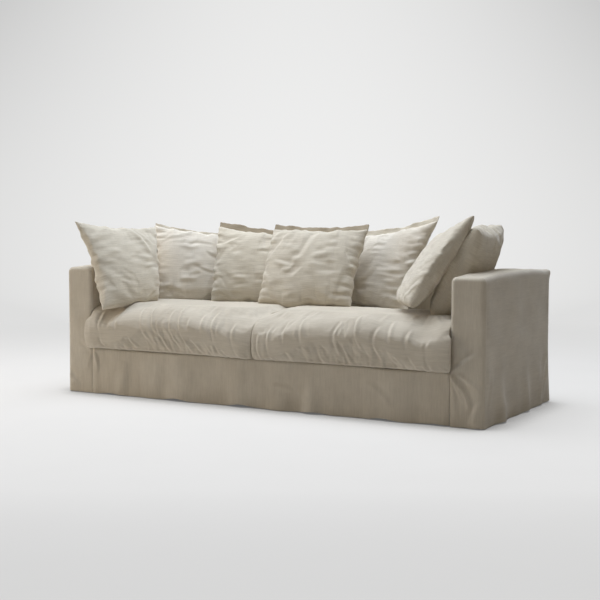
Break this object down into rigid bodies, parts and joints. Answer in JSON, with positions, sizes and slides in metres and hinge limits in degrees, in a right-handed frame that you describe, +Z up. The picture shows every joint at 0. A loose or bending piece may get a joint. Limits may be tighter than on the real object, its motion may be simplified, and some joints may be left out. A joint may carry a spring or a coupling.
{
  "type": "sofa",
  "caption": "Slip-covered linen sofa with level arms and back, a loose cover to the floor, loose seat cushions and a row of scatter pillows that lift off.",
  "frame": {"origin": "on the floor at the centre of the middle foot, which is the middle of the frame's footprint", "axes": "+X to the right as seen from the front, along the seat; -Y to the front; +Z up"},
  "size_m": [2.43, 1.0542, 1.0022],
  "materials": {
    "foot_wood": "satin",
    "timber": "matte",
    "plywood": "matte",
    "spring_steel": "satin",
    "felt": "matte",
    "black_cloth": "matte",
    "foam": "matte",
    "linen": "matte",
    "pillow_linen": "matte",
    "feather": "matte"
  },
  "bodies": {
    "frame": {"foot_front_left": "foot_wood", "foot_front_right": "foot_wood", "foot_rear_left": "foot_wood", "foot_rear_right": "foot_wood", "foot_middle": "foot_wood", "base_rail_front": "timber", "base_rail_rear": "timber", "base_rail_left": "timber", "base_rail_right": "timber", "base_brace_middle": "timber", "arm_post_front_left": "timber", "arm_post_rear_left": "timber", "arm_top_board_left": "timber", "arm_post_front_right": "timber", "arm_post_rear_right": "timber", "arm_top_board_right": "timber", "back_top_board": "timber", "back_post_middle": "timber", "arm_panel_inner_left": "plywood", "arm_panel_outer_left": "plywood", "arm_panel_inner_right": "plywood", "arm_panel_outer_right": "plywood", "back_panel_inner": "plywood", "back_panel_outer": "plywood", "seat_spring_unit_left": "spring_steel", "seat_spring_unit_right": "spring_steel", "deck_pad": "felt", "dust_cloth": "black_cloth", "front_rail_foam": "foam", "arm_foam_left": "foam", "arm_foam_right": "foam", "back_foam": "foam", "cover_arm_left": "linen", "cover_arm_right": "linen", "cover_arm_front_left": "linen", "cover_arm_front_right": "linen", "cover_front_skirt": "linen", "cover_rear_panel": "linen", "cover_back": "linen", "cover_deck": "linen"},
    "seat_cushion_left": {"seat_cushion_cover_left": "linen", "seat_cushion_fill_left": "foam"},
    "seat_cushion_right": {"seat_cushion_cover_right": "linen", "seat_cushion_fill_right": "foam"},
    "pillow_1": {"pillow_1_cover": "pillow_linen", "pillow_1_fill": "feather"},
    "pillow_2": {"pillow_2_cover": "pillow_linen", "pillow_2_fill": "feather"},
    "pillow_3": {"pillow_3_cover": "pillow_linen", "pillow_3_fill": "feather"},
    "pillow_4": {"pillow_4_cover": "pillow_linen", "pillow_4_fill": "feather"},
    "pillow_5": {"pillow_5_cover": "pillow_linen", "pillow_5_fill": "feather"},
    "pillow_6": {"pillow_6_cover": "pillow_linen", "pillow_6_fill": "feather"},
    "pillow_7": {"pillow_7_cover": "pillow_linen", "pillow_7_fill": "feather"}
  },
  "joints": [
    {"name": "seat_cushion_left_slide", "type": "slide", "parent": "frame", "child": "seat_cushion_left", "axis": [0, -1, 0], "range_m": [0, 0.8]},
    {"name": "seat_cushion_right_slide", "type": "slide", "parent": "frame", "child": "seat_cushion_right", "axis": [0, -1, 0], "range_m": [0, 0.8]},
    {"name": "pillow_1_lift", "type": "slide", "parent": "frame", "child": "pillow_1", "axis": [-0.4101, 0.1022, 0.9063], "range_m": [0, 0.5]},
    {"name": "pillow_2_lift", "type": "slide", "parent": "frame", "child": "pillow_2", "axis": [-0.1913, 0.2854, 0.9391], "range_m": [0, 0.5]},
    {"name": "pillow_3_lift", "type": "slide", "parent": "frame", "child": "pillow_3", "axis": [-0.093, 0.3643, 0.9266], "range_m": [0, 0.5]},
    {"name": "pillow_4_lift", "type": "slide", "parent": "frame", "child": "pillow_4", "axis": [-0.0153, 0.4381, 0.8988], "range_m": [0, 0.5]},
    {"name": "pillow_5_lift", "type": "slide", "parent": "frame", "child": "pillow_5", "axis": [0.1539, 0.3034, 0.9403], "range_m": [0, 0.5]},
    {"name": "pillow_6_lift", "type": "slide", "parent": "frame", "child": "pillow_6", "axis": [0.3535, 0.3535, 0.866], "range_m": [0, 0.5]},
    {"name": "pillow_7_lift", "type": "slide", "parent": "frame", "child": "pillow_7", "axis": [0.4788, 0.0758, 0.8746], "range_m": [0, 0.5]}
  ]
}
